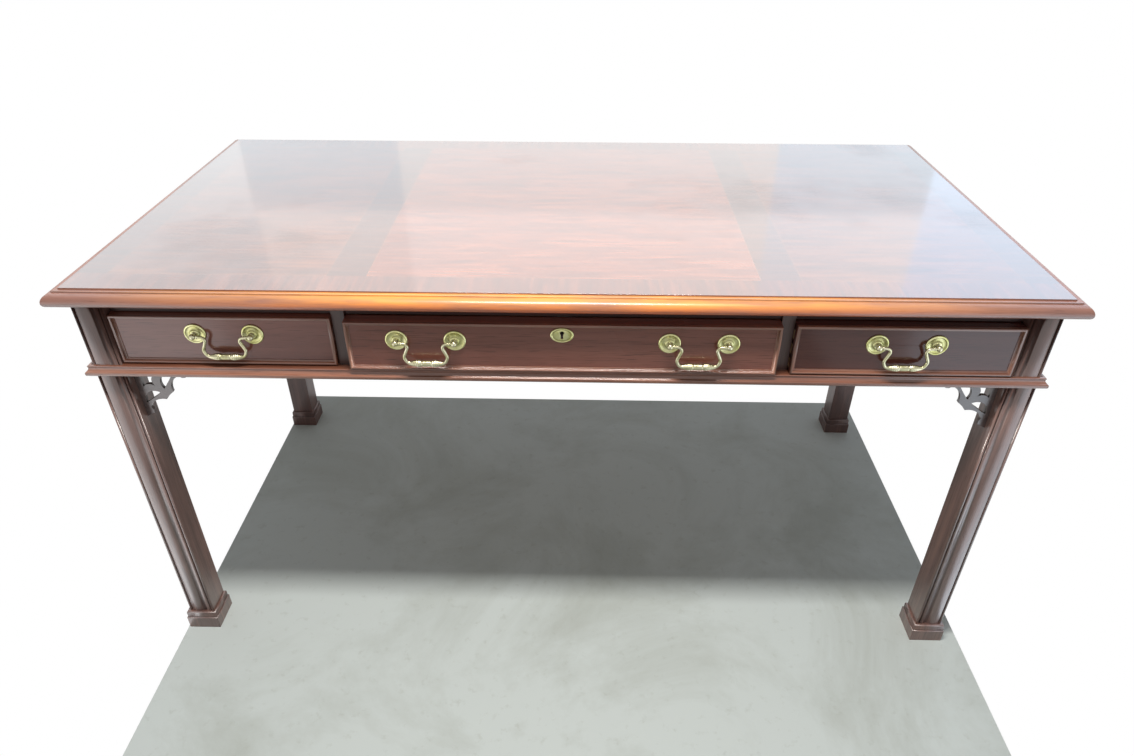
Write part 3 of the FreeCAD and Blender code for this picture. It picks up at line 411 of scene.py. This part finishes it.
def easedCopy(node, ease, shortest, hollowShade=False, mitred=False):
    mesh = bpy.data.meshes.new(node + "_eased")
    bm = bmesh.new()
    bm.from_mesh(frame["nodes"][node].data)
    bmesh.ops.remove_doubles(bm, verts=bm.verts, dist=easing["merge"])
    if mitred:
        openMitres(bm)
    bmesh.ops.dissolve_limit(bm, angle_limit=math.radians(easing["flat"]), verts=bm.verts, edges=bm.edges)
    crest = bm.faces.layers.float.new("crest")
    quirk = bm.faces.layers.float.new("quirk")
    tagBevel(bm, sharpEdges(bm, shortest, True), ease, 2, crest)
    # concave creases are tagged for the dark colour: painted shade on wood, grime on brass and steel
    tagBevel(bm, sharpEdges(bm, shortest, False), ease * easing["creaseShadeShare"], 1, quirk)
    bmesh.ops.dissolve_degenerate(bm, dist=easing["tooThin"], edges=bm.edges)
    if hollowShade:
        paintHollowShade(bm, quirk)
    for face in bm.faces:
        face.smooth = True
    bm.to_mesh(mesh)
    bm.free()
    piece = linked(node + "_eased", mesh)
    level = piece.modifiers.new("evenShade", "WEIGHTED_NORMAL")
    level.keep_sharp = True
    return piece


# wood pieces: look, grain axis, edge easing and shortest eased edge in mm
woodPieces = {
    "top_board": ("mahoganyTop", 0, 0.5, 20), "top_moulding_front": ("mahoganyLip", 0, 0.4, 100),
    "top_moulding_back": ("mahoganyLip", 0, 0.4, 100), "top_moulding_left": ("mahoganyLip", 1, 0.4, 100),
    "top_moulding_right": ("mahoganyLip", 1, 0.4, 100),
    "back_rail": ("mahogany", 0, 0.8, 18), "left_side_rail": ("mahogany", 1, 0.8, 18),
    "right_side_rail": ("mahogany", 1, 0.8, 18), "front_top_rail": ("mahoganyPaintedShade", 0, 0.6, 18),
    "front_bottom_rail": ("mahoganyPaintedShade", 0, 0.6, 18),
    "left_divider": ("mahoganyPaintedShade", 2, 0.7, 12), "right_divider": ("mahoganyPaintedShade", 2, 0.7, 12),
    "waist_moulding_front": ("mahoganyMouldingPaintedLight", 0, 0.35, 100),
    "waist_moulding_back": ("mahoganyMouldingPaintedLight", 0, 0.35, 100),
    "waist_moulding_left": ("mahoganyMouldingPaintedLight", 1, 0.35, 100),
    "waist_moulding_right": ("mahoganyMouldingPaintedLight", 1, 0.35, 100),
    "left_bracket": ("mahoganyBracket", 0, 0.4, 1.0), "right_bracket": ("mahoganyBracket", 0, 0.4, 1.0),
    "left_partition": ("oak", 1, 0.8, 12), "right_partition": ("oak", 1, 0.8, 12),
    "drawer_runners": ("oak", 1, 0.8, 12), "drawer_kickers": ("oak", 1, 0.8, 12), "glue_blocks": ("oak", 0, 1.2, 12),
}
for cornerName in ("front_left", "front_right", "back_left", "back_right"):
    # the back legs and feet take the darker copy of the mahogany: painted shade
    legLook = "mahoganyLeg" if cornerName.startswith("front") else "mahogany"
    woodPieces[cornerName + "_leg"] = (legLook, 2, 0.25, 60)
    woodPieces[cornerName + "_foot"] = (legLook, 2, 0.8, 20)
for drawer in ("left_drawer", "centre_drawer", "right_drawer"):
    frontLook = "mahoganyFrontPaintedShade" if drawer == "right_drawer" else "mahoganyFront"
    woodPieces[drawer + "_front"] = (frontLook, 0, 0.6, 30)
    woodPieces[drawer + "_bead_frame"] = ("mahoganyMouldingPaintedLight", 0, 0.3, 40)
    woodPieces[drawer + "_sides"] = ("oak", 1, 0.8, 20)
    woodPieces[drawer + "_back"] = ("oak", 0, 0.8, 20)
    woodPieces[drawer + "_bottom"] = ("oak", 0, 0.5, 20)


def uprightFaces(mesh):
    # faces of the upright strips of a bead frame: nearer the frame's ends than its top and bottom
    spots = np.array([tuple(polygon.center) for polygon in mesh.polygons])
    points = np.array([tuple(vertex.co) for vertex in mesh.vertices])
    low, high = points.min(0), points.max(0)
    sideways = np.minimum(spots[:, 0] - low[0], high[0] - spots[:, 0])
    upDown = np.minimum(spots[:, 2] - low[2], high[2] - spots[:, 2])
    return sideways < upDown


def paintKeyholeShade(mesh, reach=5 * mm):
    # painted shade: the walls of the hole behind the escutcheon are made dark
    low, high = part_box("keyhole_escutcheon")
    for polygon, tag in zip(mesh.polygons, mesh.attributes["quirk"].data):
        spot = polygon.center
        if abs(spot.x) < reach and low[2] < spot.z < high[2] and polygon.normal.y > -0.5:
            tag.value = 1.0


for node, (look, axis, ease, shortest) in woodPieces.items():
    piece = easedCopy(node, ease * mm, shortest * mm, node.endswith("_leg"), node.endswith("_bead_frame"))
    isTop = node == "top_board"
    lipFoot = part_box(node)[0][2] if node == "top_moulding_front" else None
    piece.data.materials.append(makeVeneer(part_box(node)[1]) if isTop else makeWood(look, axis, lipFoot))
    if node.endswith("_bead_frame"):
        piece.data.materials.append(makeWood(look, 2))
        for polygon, upright in zip(piece.data.polygons, uprightFaces(piece.data)):
            polygon.material_index = int(upright)
    if node == "centre_drawer_front":
        paintKeyholeShade(piece.data)
    if isTop:
        piece.data.materials.append(makeWood("mahoganyLip", 0))
        for polygon in piece.data.polygons:
            polygon.material_index = int(polygon.normal.z < 0.3)  # solid wood below the veneer
    settle(piece, node)
print("wood pieces eased:", len(woodPieces))


# repeated pieces: one form set on points, as plain mesh
def repeatTree():
    tree = bpy.data.node_groups.new("repeatOnPoints", "GeometryNodeTree")
    for name, kind in (("Points", "NodeSocketGeometry"), ("Form", "NodeSocketObject"), ("Size", "NodeSocketFloat"),
                       ("Finish", "NodeSocketMaterial")):
        tree.interface.new_socket(name, in_out="INPUT", socket_type=kind)
    tree.interface.new_socket("Pieces", in_out="OUTPUT", socket_type="NodeSocketGeometry")
    given = tree.nodes.new("NodeGroupInput")
    form = tree.nodes.new("GeometryNodeObjectInfo")
    scatter = tree.nodes.new("GeometryNodeInstanceOnPoints")
    realize = tree.nodes.new("GeometryNodeRealizeInstances")
    paint = tree.nodes.new("GeometryNodeSetMaterial")
    result = tree.nodes.new("NodeGroupOutput")
    tree.links.new(given.outputs["Form"], form.inputs["Object"])
    tree.links.new(given.outputs["Points"], scatter.inputs["Points"])
    tree.links.new(form.outputs["Geometry"], scatter.inputs["Instance"])
    tree.links.new(given.outputs["Size"], scatter.inputs["Scale"])
    tree.links.new(scatter.outputs["Instances"], realize.inputs["Geometry"])
    tree.links.new(realize.outputs["Geometry"], paint.inputs["Geometry"])
    tree.links.new(given.outputs["Finish"], paint.inputs["Material"])
    tree.links.new(paint.outputs["Geometry"], result.inputs["Pieces"])
    return tree


repeatOnPoints = repeatTree()


def repeated(name, form, places, material):
    points = bpy.data.meshes.new(name + "Points")
    points.from_pydata([tuple(place) for place in places], [], [])
    holder = linked(name + "Points", points)
    given = {"Form": form, "Size": 1.0, "Finish": material}
    spread = holder.modifiers.new("repeat", "NODES")
    spread.node_group = repeatOnPoints
    for item in repeatOnPoints.interface.items_tree:
        if item.in_out == "INPUT" and item.name in given:
            spread[item.identifier] = given[item.name]
    shown = holder.evaluated_get(bpy.context.evaluated_depsgraph_get())
    mesh = bpy.data.meshes.new_from_object(shown)
    holder.modifiers.remove(spread)
    bpy.data.objects.remove(holder)
    bpy.data.objects.remove(form)
    return linked(name, mesh)


def smoothOutward(mesh):
    bm = bmesh.new()
    bm.from_mesh(mesh)
    bmesh.ops.remove_doubles(bm, verts=bm.verts, dist=1e-7)
    bmesh.ops.recalc_face_normals(bm, faces=bm.faces)
    for face in bm.faces:
        face.smooth = True
    bm.to_mesh(mesh)
    bm.free()


def turnedForm(name, outline, sunk, segments=48):
    # outline of (radius, height) turned about Y, height towards the front; sunk rings hold grime
    count = len(outline)
    points, faces, grime = [], [], []
    for step in range(segments):
        angle = 2 * math.pi * step / segments
        for (radius, height), depth in zip(outline, sunk):
            points.append((radius * math.cos(angle) * mm, -height * mm, radius * math.sin(angle) * mm))
            grime.append(depth)
    for step in range(segments):
        following = (step + 1) % segments
        for index in range(count - 1):
            near, far = step * count + index, following * count + index
            faces.append((near, near + 1, far + 1, far))
    mesh = bpy.data.meshes.new(name)
    mesh.from_pydata(points, [], faces)
    mesh.attributes.new("quirk", "FLOAT", "POINT").data.foreach_set("value", grime)
    smoothOutward(mesh)
    return linked(name, mesh)


# brass handles: roses on the drawer fronts and swan-neck bails between the posts, sizes in mm
# corners are shares of half the spacing and of the drop; grip and leaf run from the middle, ends from the pins
handle = {
    "spacing": 89.0, "standoff": 11.0, "drop": 35.0, "pinGap": 0.4, "stationGap": 0.5, "bendSteps": 14,
    "corners": ((0.850, 0.000), (0.540, 0.050), (0.752, 0.680), (0.648, 1.000)), "bends": (8.0, 6.5, 9.0, 9.0),
    "grip": ((0, 4.9), (6.2, 4.9), (6.5, 4.0), (7.1, 4.0), (7.5, 4.7), (9.5, 5.3), (12.5, 5.5), (15.5, 5.2), (20, 4.2),
             (25, 3.1), (29, 2.5)),
    "leaf": ((0, 0), (7.6, 0), (9, 1), (19, 1), (26, 0)),
    "ends": ((0, 2.0), (5.0, 2.0), (5.05, 3.1), (6.6, 3.1), (7.4, 2.3), (8.2, 2.4)),
    "barrel": 6.0, "reedPitch": 1.55, "reedDepth": 0.035, "ribs": 7, "ribDepth": 0.085,
}
roseOutline = ((0.0, 3.9), (4.9, 4.0), (6.0, 3.8), (6.7, 3.1), (7.2, 2.2), (8.2, 1.6), (10.0, 1.45), (12.2, 1.6),
               (13.5, 2.0), (14.1, 2.6), (15.0, 2.85), (15.9, 2.6), (16.7, 1.9), (17.0, 1.2), (17.0, 0.1),
               (16.8, 0.0), (0.0, 0.0))
roseGrime = (0, 0, 0, 0.25, 0.8, 0.55, 0.2, 0.15, 0.45, 0.2, 0, 0, 0, 0.3, 0.6, 0.6, 0.6)
pivots = {joint["child"]: Vector(joint["pos_m"]) for joint in frame["record"]["behaviour"]["joints"]
          if joint["type"] == "hinge"}
bailsOf = {"left_drawer": ["left_bail"], "centre_drawer": ["centre_left_bail", "centre_right_bail"],
           "right_drawer": ["right_bail"]}
for drawer, bails in bailsOf.items():
    half = Vector((handle["spacing"] / 2 * mm, 0, 0))
    back = Vector((0, handle["standoff"] * mm, 0))
    places = [pivots[bail] + back + half * side for bail in bails for side in (-1, 1)]
    form = turnedForm("roseForm", roseOutline, roseGrime)
    roses = repeated(drawer + "_roses_fine", form, places, castBrass)
    settle(roses, drawer + "_handle_roses")


def bailRoute():
    # stations from the left pin's end to the right one, in the plane of the bail
    half = handle["spacing"] / 2
    corners = [Vector((-half * share[0], -handle["drop"] * share[1])) for share in handle["corners"]]
    corners += [Vector((-corner.x, corner.y)) for corner in reversed(corners)]
    bends = handle["bends"] + handle["bends"][::-1]
    end = half - handle["pinGap"]
    stations = [Vector((-end, 0))]
    finish = Vector((end, 0))
    for index, (corner, bend) in enumerate(zip(corners, bends)):
        following = corners[index + 1] if index + 1 < len(corners) else finish
        before = (stations[-1] - corner).normalized()
        after = (following - corner).normalized()
        halfAngle = before.angle(after) / 2
        first = corner + before * (bend / math.tan(halfAngle))
        centre = corner + (before + after).normalized() * (bend / math.sin(halfAngle))
        stations += lineStations(stations[-1], first)
        sweep = math.pi - 2 * halfAngle
        start = first - centre
        clockwise = before.x * after.y - before.y * after.x > 0
        for step in range(1, handle["bendSteps"] + 1):
            turn = Matrix.Rotation(sweep * step / handle["bendSteps"] * (-1 if clockwise else 1), 2)
            stations.append(centre + turn @ start)
    return stations + lineStations(stations[-1], finish)


def lineStations(start, finish, shortest=0.05):
    length = (finish - start).length
    if length < shortest:
        return []
    count = max(2, int(length / handle["stationGap"]))
    return [start.lerp(finish, step / count) for step in range(1, count + 1)]


def bailMesh(name, pivot, ringCount=28):
    route = np.array([tuple(station) for station in bailRoute()])
    steps = np.linalg.norm(np.diff(route, axis=0), axis=1)
    run = np.concatenate([[0], np.cumsum(steps)])
    fromMiddle = np.abs(run - run[-1] / 2)
    fromEnd = run[-1] / 2 - fromMiddle
    radius = np.interp(fromMiddle, *np.array(handle["grip"]).T)
    radius = np.where(fromEnd < handle["ends"][-1][0], np.interp(fromEnd, *np.array(handle["ends"]).T), radius)
    leaf = np.interp(fromMiddle, *np.array(handle["leaf"]).T)
    barrel = np.where(fromMiddle < handle["barrel"], 1.0, 0.0)
    ways = np.gradient(route, axis=0)
    ways /= np.linalg.norm(ways, axis=1)[:, None]
    angles = np.arange(ringCount) * 2 * math.pi / ringCount
    points, grime = [], []
    for station in range(len(route)):
        across = np.array([-ways[station, 1], 0, ways[station, 0]])
        middle = np.array([route[station, 0], 0, route[station, 1]])
        away = fromMiddle[station]
        ribs = np.cos(angles * handle["ribs"] + away * 0.12) * 0.55 + np.cos(away * 2.2 + angles * 2) * 0.45
        reeds = math.cos(away * 2 * math.pi / handle["reedPitch"])
        carving = leaf[station] * handle["ribDepth"] * ribs + barrel[station] * handle["reedDepth"] * reeds
        girth = radius[station] * (1 + carving)
        for angle, size, rib in zip(angles, girth, ribs):
            spot = middle + (across * math.cos(angle) + np.array([0, 1, 0]) * math.sin(angle)) * size
            points.append(tuple(Vector(spot) * mm + pivot))
            grime.append(leaf[station] * max(0, -rib) * 0.8 + barrel[station] * max(0, -reeds) * 0.5)
    faces = []
    for station in range(len(route) - 1):
        for index in range(ringCount):
            beside = (index + 1) % ringCount
            near, far = station * ringCount, (station + 1) * ringCount
            faces.append((near + index, near + beside, far + beside, far + index))
    faces.append(tuple(range(ringCount))[::-1])
    faces.append(tuple(range((len(route) - 1) * ringCount, len(route) * ringCount)))
    mesh = bpy.data.meshes.new(name)
    mesh.from_pydata(points, [], faces)
    mesh.attributes.new("quirk", "FLOAT", "POINT").data.foreach_set("value", grime)
    smoothOutward(mesh)
    return mesh


for bail, pivot in pivots.items():
    piece = linked(bail + "_fine", bailMesh(bail + "_fine", pivot))
    piece.data.materials.append(agedBrass)
    settle(piece, bail)
print("handles ready:", len(pivots))


# posts and lock keep their CAD form: easing in mm
metalPieces = {
    "left_drawer_handle_posts": 0.2, "centre_drawer_handle_posts": 0.2, "right_drawer_handle_posts": 0.2,
    "lock_case": 0.5, "lock_bolt": 0.4,
}
shortestMetalEdge = 0.5 * mm
for node, ease in metalPieces.items():
    piece = easedCopy(node, ease * mm, shortestMetalEdge)
    piece.data.materials.append(agedBrass if slotOf(node) == "brass" else lockSteel)
    settle(piece, node)

# the escutcheon: a cast oval with a rounded rim and a low dome round the keyhole, sizes in mm
# rim and dome are (share of the way out, height): the rim's of the oval, the dome's between keyhole and rim
escutcheon = {
    "head": 3.3, "rise": 3.5, "slot": 2.1, "foot": -6.4,
    "rim": ((0.985, 0.0), (1.0, 0.1), (1.0, 0.9), (0.985, 1.6), (0.95, 2.2), (0.905, 2.4), (0.86, 2.2), (0.825, 1.5),
            (0.80, 0.9), (0.76, 0.75), (0.70, 0.95)),
    "rimGrime": (0.8, 0.8, 0.4, 0.1, 0, 0, 0.1, 0.5, 0.9, 0.7, 0.35),
    "dome": ((0.80, 1.15), (0.55, 1.45), (0.25, 1.6), (0.05, 1.55), (0.0, 1.3), (0.0, 0.1), (0.03, 0.0)),
    # the dome's last three points, the keyhole's walls, are painted dark as painted shade; the rest is grime in the
    # hollows
    "domeGrimeAndShade": (0.15, 0.05, 0, 0.1, 0.5, 1.0, 1.0),
}


def keyholeReach(angle):
    # from the head's centre to the outline: a round head with a straight slot below
    across, up = math.cos(angle), math.sin(angle)
    reach = escutcheon["head"]
    if up < 0:
        drop = escutcheon["foot"] - escutcheon["rise"]
        toSide = escutcheon["slot"] / max(abs(across), 1e-6)
        reach = max(reach, min(toSide, drop / up))
    return reach


def escutcheonMesh(name, low, high, steps=144):
    halfLength, halfHeight = (high[0] - low[0]) / 2 / mm, (high[2] - low[2]) / 2 / mm
    middle = Vector(((low[0] + high[0]) / 2, high[1], (low[2] + high[2]) / 2))
    rings, grime = [], []
    for step in range(steps):
        angle = 2 * math.pi * step / steps
        oval = Vector((halfLength * math.cos(angle), halfHeight * math.sin(angle)))
        reach = keyholeReach(angle)
        hole = Vector((reach * math.cos(angle), reach * math.sin(angle) + escutcheon["rise"]))
        inner = oval * escutcheon["rim"][-1][0]
        line = [(oval * share, height) for share, height in escutcheon["rim"]]
        line += [(hole.lerp(inner, share), height) for share, height in escutcheon["dome"]]
        rings.append([middle + Vector((spot.x, -height, spot.y)) * mm for spot, height in line])
        grime += escutcheon["rimGrime"] + escutcheon["domeGrimeAndShade"]
    count = len(rings[0])
    faces = []
    for step in range(steps):
        following = (step + 1) % steps
        near, far = step * count, following * count
        for index in range(count):
            beside = (index + 1) % count  # the last ring closes the back
            faces.append((near + index, far + index, far + beside, near + beside))
    mesh = bpy.data.meshes.new(name)
    mesh.from_pydata([tuple(point) for ring in rings for point in ring], [], faces)
    mesh.attributes.new("quirk", "FLOAT", "POINT").data.foreach_set("value", grime)
    smoothOutward(mesh)
    return mesh


plateName = "keyhole_escutcheon_fine"
plate = linked(plateName, escutcheonMesh(plateName, *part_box("keyhole_escutcheon")))
plate.data.materials.append(castBrass)
settle(plate, "keyhole_escutcheon")
print("fittings ready:", len(metalPieces) + 1)


# floor, light and camera
studio = {
    "floorSpan": ((-0.748, 0.778), (-2.4, 0.44)), "floorTone": (0.60, 0.655, 0.645), "floorRough": 0.7,
    "floorStain": (0.36, 0.385, 0.34), "worldFill": 0.27}
keyLight = {
    "size": (0.8, 0.18), "at": (0.0, -0.67, 2.1), "aim": (0.0, -0.4, 0.7), "watts": 33, "colour": (1.0, 0.97, 0.92)}
# pale sheets that only show in the polish: size, place, aim, radiance, colour
sheets = {
    "backLowSheet": ((1.80, 0.435), (0.05, 2.3, 1.4775), (0.05, 0.0, 1.4775), 1.02, (0.95, 0.98, 1.0)),
    "backLowLeftSheet": ((0.75, 0.435), (-1.225, 2.3, 1.4775), (-1.225, 0.0, 1.4775), 0.90, (0.72, 0.88, 1.0)),
    "backLowRightSheet": ((0.75, 0.435), (1.325, 2.3, 1.4775), (1.325, 0.0, 1.4775), 1.15, (0.64, 0.83, 1.0)),
    "backHighSheet": ((1.80, 1.05), (0.05, 2.3, 2.22), (0.05, 0.0, 2.22), 1.50, (1.0, 0.97, 0.965)),
    "backHighLeftSheet": ((0.75, 1.05), (-1.225, 2.3, 2.22), (-1.225, 0.0, 2.22), 1.28, (1.0, 0.97, 0.965)),
    "backHighRightSheet": ((0.75, 1.05), (1.325, 2.3, 2.22), (1.325, 0.0, 2.22), 1.60, (0.84, 0.91, 1.0)),
    "leftSheet": ((2.53, 1.49), (-1.732, 0.98, 2.005), (0.0, 0.76, 2.005), 1.15, (0.88, 0.95, 1.0)),
    "rightSheet": ((2.53, 1.49), (1.822, 0.98, 2.005), (0.0, 0.76, 2.005), 1.85, (0.58, 0.77, 1.0)),
    "frontLeftSheet": ((0.94, 1.34), (-1.05, -0.87, 0.07), (0.0, -0.87, 0.07), 1.4, (0.97, 0.98, 1.0)),
    "frontRightSheet": ((1.1, 1.34), (1.08, -0.95, 0.07), (0.0, -0.95, 0.07), 1.75, (0.74, 0.87, 1.0)),
}
floorMesh = bpy.data.meshes.new("floor")
spanX, spanY = studio["floorSpan"]
floorCorners = [(spanX[0], spanY[0], 0), (spanX[1], spanY[0], 0), (spanX[1], spanY[1], 0), (spanX[0], spanY[1], 0)]
floorMesh.from_pydata(floorCorners, [], [(0, 1, 2, 3)])
floor = linked("floor", floorMesh)
f = Finish("paleFloor")
mottle = f.noise(f.place(), 2.6, 7.0, 0.66, 0.6)
speck = f.noise(f.place(), 45.0, 4.0, 0.65)
tone = f.blend(f.ramp(mottle, 0.44, 0.68) * 0.55, rgba(studio["floorTone"]), rgba(studio["floorStain"]))
tone = f.blend(f.ramp(speck, 0.58, 0.72) * 0.28, tone, rgba(studio["floorStain"]))
floorMesh.materials.append(f.finish({"Base Color": tone, "Roughness": studio["floorRough"]}))


def makeWorld():
    world = bpy.data.worlds.new("studio")
    world.use_nodes = True
    scene.world = world
    tree = world.node_tree
    tree.nodes.clear()
    path = tree.nodes.new("ShaderNodeLightPath")
    seen = path.outputs["Is Camera Ray"]
    for other in ("Is Glossy Ray", "Is Transmission Ray"):
        larger = tree.nodes.new("ShaderNodeMath")
        larger.operation = "MAXIMUM"
        tree.links.new(seen, larger.inputs[0])
        tree.links.new(path.outputs[other], larger.inputs[1])
        seen = larger.outputs[0]
    level = tree.nodes.new("ShaderNodeMapRange")
    level.inputs["To Min"].default_value = studio["worldFill"]
    level.inputs["To Max"].default_value = 1.0
    tree.links.new(seen, level.inputs["Value"])
    backdrop = tree.nodes.new("ShaderNodeBackground")
    backdrop.inputs["Color"].default_value = (1, 1, 1, 1)
    tree.links.new(level.outputs["Result"], backdrop.inputs["Strength"])
    out = tree.nodes.new("ShaderNodeOutputWorld")
    tree.links.new(backdrop.outputs["Background"], out.inputs["Surface"])


makeWorld()


def makeLamp(name, size, at, aim, watts, colour):
    light = bpy.data.lights.new(name, "AREA")
    light.shape = "RECTANGLE"
    light.size, light.size_y = size
    light.energy = watts
    light.color = colour
    lamp = bpy.data.objects.new(name, light)
    lamp.location = at
    lamp.rotation_euler = (Vector(aim) - lamp.location).to_track_quat("-Z", "Y").to_euler()
    lamp.visible_camera = False
    scene.collection.objects.link(lamp)
    return lamp


makeLamp("keyLight", **keyLight)
for name, (size, at, aim, radiance, colour) in sheets.items():
    sheet = makeLamp(name, size, at, aim, radiance * math.pi * size[0] * size[1], colour)
    sheet.visible_diffuse = False

# place in mm, angles in degrees
photoCamera = {
    "imageWidth": 1134, "focalPixels": 782.3, "sensor": 36.0, "at": (27.9, -1374.1, 1285.6),
    "pitch": 33.745, "yaw": 1.140, "roll": 0.124}
cameraData = bpy.data.cameras.new("photoCamera")
cameraData.sensor_width = photoCamera["sensor"]
cameraData.lens = photoCamera["sensor"] * photoCamera["focalPixels"] / photoCamera["imageWidth"]
camera = bpy.data.objects.new("photoCamera", cameraData)
turn = Matrix.Rotation(math.radians(photoCamera["yaw"]), 4, "Z")
turn @= Matrix.Rotation(math.radians(90 - photoCamera["pitch"]), 4, "X")
turn @= Matrix.Rotation(math.radians(photoCamera["roll"]), 4, "Z")
camera.matrix_world = Matrix.Translation(Vector(photoCamera["at"]) * mm) @ turn
scene.collection.objects.link(camera)
scene.camera = camera
scene.view_settings.view_transform = "Standard"
print("studio ready")
